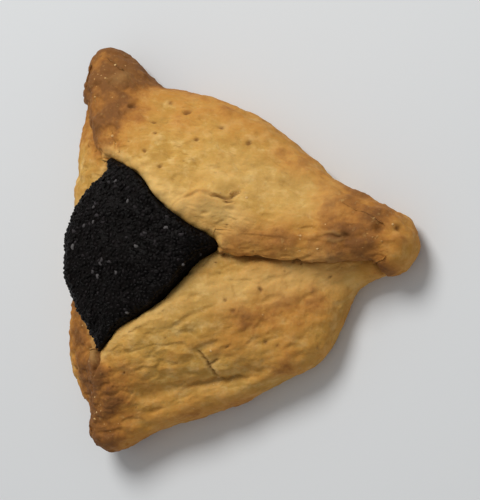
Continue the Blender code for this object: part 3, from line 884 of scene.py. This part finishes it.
def seed_places(top, normals, random):
    """Places and normals of the seeds: scattered over the dome by area, and none too close to another."""
    corners = top[:-1], np.roll(top, -1, axis=1)[:-1], top[1:]
    areas = np.linalg.norm(np.cross(corners[1] - corners[0], corners[2] - corners[0]), axis=-1)
    chances = (areas / areas.sum()).reshape(-1)
    picked = random.choice(len(chances), SEED_TRIES, p=chances)
    rows, lines = np.unravel_index(picked, areas.shape)
    shares = random.random((SEED_TRIES, 2))
    points = top[rows, lines]
    points = points + (corners[1][rows, lines] - points) * shares[:, :1]
    points = points + (corners[2][rows, lines] - top[rows, lines]) * shares[:, 1:]
    kept = np.empty((0, 3))
    chosen = []
    for i, point in enumerate(points):
        if len(kept) == 0 or np.linalg.norm(kept - point, axis=1).min() > SEED_SPACING:
            kept = np.vstack((kept, point))
            chosen.append(i)
    return kept, normals[rows[chosen], lines[chosen]]


def make_seeds(top, normals, random):
    """All the seeds as one mesh, each lying on its flatter side and partly sunk in the paste."""
    shape, shape_faces = seed_shape()
    vertices, faces, tints = [], [], []
    for place, normal in zip(*seed_places(top, normals, random)):
        up = unit(normal + random.normal(0.0, SEED_TILT, 3))
        along = unit(np.cross(up, random.normal(0.0, 1.0, 3)))
        axes = np.array((along, np.cross(up, along), up))
        length = random.uniform(*SEED_LENGTH)
        sunk = place - normal * length * SEED_SUNK * random.uniform(*SEED_SUNK_RANGE)
        start = len(vertices) * len(shape)
        vertices.append(sunk + (shape * length) @ axes)
        faces += [tuple(start + index for index in face) for face in shape_faces]
        # A random pick of colour for each seed; the highest picks are painted glints.
        tints.append(np.full(len(shape), random.random()))
    mesh = smooth_mesh("poppy_seeds", np.vstack(vertices), faces)
    add_attribute(mesh, "tint_and_glint", np.concatenate(tints))
    return add_object("poppy_seeds", mesh, seed_material())


def crumb_shape(random):
    """A crumb of unit radius: a ball with every point moved in or out at random."""
    shape = bmesh.new()
    bmesh.ops.create_icosphere(shape, subdivisions=2, radius=1.0)
    points = np.array([vertex.co for vertex in shape.verts])
    faces = [[vertex.index for vertex in face.verts] for face in shape.faces]
    shape.free()
    shifted = points + random.uniform(-CRUMB_NOISE_SPREAD, CRUMB_NOISE_SPREAD, 3)
    lumpy = 1 + CRUMB_LUMP_HEIGHT * noise_at(shifted, CRUMB_LUMP_LENGTH, 2)
    return points * lumpy[:, None] * random.uniform(*CRUMB_PROPORTIONS), faces


def make_crumbs(shown, random):
    """Crumbs of crust, each lying on the dough and a little sunk in it."""
    places, normals = shown.reshape(-1, 3), grid_normals(shown).reshape(-1, 3)
    plan = plan_of(places)
    vertices, faces = [], []
    start = 0
    for i in range(CRUMB_COUNT):
        if i < CRUMB_COUNT * CRUMB_SHARE:
            x, y, spread = CRUMB_PLACES[i % len(CRUMB_PLACES)]
            wanted = random.normal((x, y), spread / 2)
            index = np.argmin(np.linalg.norm(plan - wanted, axis=1))
        else:
            index = random.integers(len(places))
        shape, shape_faces = crumb_shape(random)
        radius = random.uniform(*CRUMB_RADIUS)
        along = unit(np.cross(normals[index], random.normal(0.0, 1.0, 3)))
        axes = np.array((along, np.cross(normals[index], along), normals[index]))
        sunk = places[index] - normals[index] * radius * CRUMB_SUNK
        vertices.append(sunk + (shape * radius) @ axes)
        faces += [[start + corner for corner in face] for face in shape_faces]
        start += len(shape)
    return add_object("crumbs", smooth_mesh("crumbs", np.vstack(vertices), faces), crumb_material())


def set_inputs(tree, shader_node, inputs):
    """Gives each input, by its name or number, a number, a colour or another node's output."""
    for name, value in inputs.items():
        socket = shader_node.inputs[name]
        if isinstance(value, bpy.types.NodeSocket):
            tree.links.new(value, socket)
        else:
            socket.default_value = value


def node(tree, kind, inputs, **settings):
    made = tree.nodes.new("ShaderNode" + kind)
    for name, value in settings.items():
        setattr(made, name, value)
    set_inputs(tree, made, inputs)
    return made


def new_material(name):
    """A new material, its node tree, its shader, and the coordinates of the piece that wears it."""
    made = bpy.data.materials.new(name)
    made.use_nodes = True
    tree = made.node_tree
    return made, tree, tree.nodes["Principled BSDF"], node(tree, "TexCoord", {}).outputs["Object"]


def noise_texture(tree, coordinates, size, detail=3.0, roughness=0.55):
    """A noise whose lumps are about so many metres across, from 0 to 1."""
    inputs = {"Vector": coordinates, "Scale": 1 / size, "Detail": detail, "Roughness": roughness}
    return node(tree, "TexNoise", inputs).outputs["Fac"]


def ramp(tree, factor, stops):
    """Numbers or colours between stops of (place, value)."""
    made = node(tree, "ValToRGB", {"Fac": factor})
    elements = made.color_ramp.elements
    while len(elements) < len(stops):
        elements.new(0.5)
    for element, (place, value) in zip(elements, stops):
        element.position = place
        element.color = value if isinstance(value, tuple) else (value, value, value, 1.0)
    return made.outputs["Color"]


def maths(tree, operation, first, second):
    return node(tree, "Math", {0: first, 1: second}, operation=operation).outputs[0]


def mix(tree, factor, first, second):
    """A mix of two colours. The inputs and outputs of a Mix node are counted over all its kinds of data."""
    return node(tree, "Mix", {0: factor, 6: first, 7: second}, data_type="RGBA").outputs[2]


def attribute(tree, name):
    return node(tree, "Attribute", {}, attribute_name=name).outputs["Fac"]


def bump(tree, height, distance, **below):
    """Small relief of so many metres, over the Normal below it if one is given."""
    inputs = {"Height": height, "Distance": distance, "Strength": 1.0, **below}
    return node(tree, "Bump", inputs).outputs["Normal"]


def crust_material():
    """Baked dough: golden, mottled, brown where it baked hardest, darkened with painted shade in its pits,
    cracks and creases, and paler in places, some of which are painted light.
    """
    made, tree, shader, place = new_material("baked_dough")
    stretched = node(tree, "Mapping", {"Vector": place, "Scale": (0.30, 1.0, 1.0)}).outputs["Vector"]
    mottle = noise_texture(tree, place, 0.0060, 4.0, 0.6)
    freckle = noise_texture(tree, place, 0.0011, 3.0, 0.6)
    grain = noise_texture(tree, place, 0.00035, 2.0, 0.6)
    streak = noise_texture(tree, stretched, 0.0010, 3.0, 0.6)
    blotch = noise_texture(tree, place, 0.0024, 3.0, 0.6)
    gold = ramp(tree, mottle, ((0.34, GOLD[0]), (0.66, GOLD[1])))
    gold = mix(tree, ramp(tree, blotch, ((0.50, 0.0), (0.70, 0.70))), gold, BLOTCHES[1])
    gold = mix(tree, ramp(tree, blotch, ((0.30, 0.60), (0.47, 0.0))), gold, BLOTCHES[0])
    gold = mix(tree, ramp(tree, streak, ((0.57, 0.0), (0.72, 0.50))), gold, STREAKS[1])
    gold = mix(tree, ramp(tree, streak, ((0.29, 0.60), (0.43, 0.0))), gold, STREAKS[0])
    uneven = maths(tree, "MULTIPLY", maths(tree, "SUBTRACT", freckle, 0.5), 0.45)
    patches = maths(tree, "SUBTRACT", mottle, 0.5)
    brown = maths(tree, "ADD", attribute(tree, "browning"), maths(tree, "ADD", uneven, patches))
    toasted = mix(tree, ramp(tree, brown, ((0.02, 0.0), (0.78, 1.0))), gold, TOASTED)
    browned = mix(tree, ramp(tree, brown, ((0.52, 0.0), (1.0, 1.0))), toasted, BROWNED)
    speckled = mix(tree, ramp(tree, freckle, ((0.28, 0.35), (0.42, 0.0))), browned, SPECKS[0])
    floury = mix(tree, ramp(tree, freckle, ((0.62, 0.0), (0.78, 0.35))), speckled, SPECKS[1])
    # Pale crust and crack lips, painted light and painted highlights.
    pale = mix(tree, attribute(tree, "pale"), floury, PALE_CRUST_AND_PAINTED_LIGHT)
    # Painted shade in the pits, cracks and creases.
    hollow_shade = mix(tree, attribute(tree, "hollow_shade"), pale, PAINTED_SHADE_IN_HOLLOWS)
    finish = {
        "Base Color": hollow_shade,
        "Roughness": ramp(tree, freckle, ((0.3, 0.60), (0.7, 0.80))),
        "Specular IOR Level": 0.14,
        "Subsurface Weight": 0.10,
        "Subsurface Radius": (1.0, 0.5, 0.2),
        "Subsurface Scale": 0.0012,
        "Normal": bump(tree, grain, 0.00007, Normal=bump(tree, freckle, 0.00016)),
    }
    set_inputs(tree, shader, finish)
    return made


def crumb_material():
    """Crumbs: the crust's gold, a little paler, each in its own shade."""
    made, tree, shader, place = new_material("crumbs")
    shade = noise_texture(tree, place, 0.0030, 2.0)
    colour = ramp(tree, shade, ((0.35, CRUMBS[0]), (0.62, CRUMBS[1])))
    set_inputs(tree, shader, {"Base Color": colour, "Roughness": 0.8, "Specular IOR Level": 0.14})
    return made


def paste_material():
    """Dark, moist paste between the seeds."""
    made, tree, shader, place = new_material("poppy_paste")
    clots = noise_texture(tree, place, 0.0012, 3.0)
    grain = noise_texture(tree, place, 0.00030, 3.0)
    colour = ramp(tree, clots, ((0.35, PASTE[0]), (0.70, PASTE[1])))
    finish = {
        "Base Color": colour,
        "Roughness": ramp(tree, grain, ((0.3, 0.35), (0.7, 0.65))),
        "Specular IOR Level": 0.09,
        "Normal": bump(tree, grain, 0.00012),
    }
    set_inputs(tree, shader, finish)
    return made


def seed_material():
    """Poppy seeds: black to blue-grey, each a little different, with a finely pitted coat. The palest
    few are painted glints.
    """
    made, tree, shader, place = new_material("poppy_seeds")
    cells = node(tree, "TexVoronoi", {"Vector": place, "Scale": 1 / SEED_CELL}).outputs["Distance"]
    finish = {
        "Base Color": ramp(tree, attribute(tree, "tint_and_glint"), SEEDS_AND_GLINTS),
        "Roughness": ramp(tree, cells, ((0.0, 0.62), (0.6, 0.38))),
        "Specular IOR Level": 0.09,
        "Normal": bump(tree, cells, 0.00004),
    }
    set_inputs(tree, shader, finish)
    return made


def make_floor():
    """A plain pale floor."""
    made, tree, shader, place = new_material("pale_floor")
    shade = noise_texture(tree, place, 0.25, 2.0)
    colour = ramp(tree, shade, ((0.3, FLOOR[0]), (0.7, FLOOR[1])))
    set_inputs(tree, shader, {"Base Color": colour, "Roughness": 0.7})
    half = FLOOR_SIZE / 2
    corners = np.array(((-half, -half, 0.0), (half, -half, 0.0), (half, half, 0.0), (-half, half, 0.0)))
    add_object("pale_floor", smooth_mesh("pale_floor", corners, [(0, 1, 2, 3)]), made)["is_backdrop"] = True


def add_lamp(name, place, size, power, colour):
    """A round area lamp that faces the part."""
    data = bpy.data.lights.new(name, "AREA")
    data.shape = "DISK"
    data.size = size
    data.energy = power
    data.color = colour
    made = bpy.data.objects.new(name, data)
    made.location = place
    made.rotation_euler = (-Vector(place)).to_track_quat("-Z", "Y").to_euler()
    bpy.context.scene.collection.objects.link(made)


def light_scene():
    """Soft studio light: an even pale surround, and one broad lamp high in the north."""
    world = bpy.data.worlds.new("studio")
    world.use_nodes = True
    background = world.node_tree.nodes["Background"]
    background.inputs["Color"].default_value = SURROUND_COLOUR
    background.inputs["Strength"].default_value = SURROUND_STRENGTH
    bpy.context.scene.world = world
    add_lamp("key", LAMP_PLACE, LAMP_SIZE, LAMP_POWER, LAMP_COLOUR)
    bpy.context.scene.view_settings.view_transform = "Standard"


def make_camera():
    """The camera looks down, from the east and a little from the south."""
    back = Vector((math.tan(TILT_EAST), -math.tan(TILT_SOUTH), 1)).normalized()
    right = Vector((0, 1, 0)).cross(back).normalized()
    up = back.cross(right)
    target = LOOK_AT + right * FRAME_SHIFT[0] + up * FRAME_SHIFT[1]
    data = bpy.data.cameras.new("camera")
    data.sensor_fit = "VERTICAL"
    data.angle = 2 * math.atan(FRAME_HEIGHT / 2 / CAMERA_DISTANCE)
    camera = bpy.data.objects.new("camera", data)
    bpy.context.scene.collection.objects.link(camera)
    turn = Matrix((right, up, back)).transposed().to_4x4()
    camera.matrix_world = Matrix.Translation(target + back * CAMERA_DISTANCE) @ turn
    bpy.context.scene.camera = camera


def finish_piece(piece, slot, *nodes):
    """The piece rides on the part's one body, in place of the nodes. The slot is not used."""
    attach(piece, "root")
    if nodes:
        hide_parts(*nodes)


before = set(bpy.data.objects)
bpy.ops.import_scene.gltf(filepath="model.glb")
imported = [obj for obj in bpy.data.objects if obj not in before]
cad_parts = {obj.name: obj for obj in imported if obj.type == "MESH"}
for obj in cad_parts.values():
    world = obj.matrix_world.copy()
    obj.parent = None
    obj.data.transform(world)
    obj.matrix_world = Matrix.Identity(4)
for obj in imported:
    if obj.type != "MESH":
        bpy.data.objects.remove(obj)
cad_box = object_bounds()
numbers = np.random.default_rng(RANDOM_START)
dough, lift, crust_rings = make_dough(numbers)
finish_piece(dough, "baked_dough", "dough")
filling, dome_top, dome_normals = make_filling(lift)
finish_piece(filling, "poppy_filling", "filling")
finish_piece(make_seeds(dome_top, dome_normals, numbers), "poppy_filling")
finish_piece(make_crumbs(crust_rings, numbers), "baked_dough")
make_floor()
light_scene()
make_camera()
boxes = {"cad": cad_box, "visual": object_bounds()}
{name: [list(corner) for corner in box] for name, box in boxes.items()}
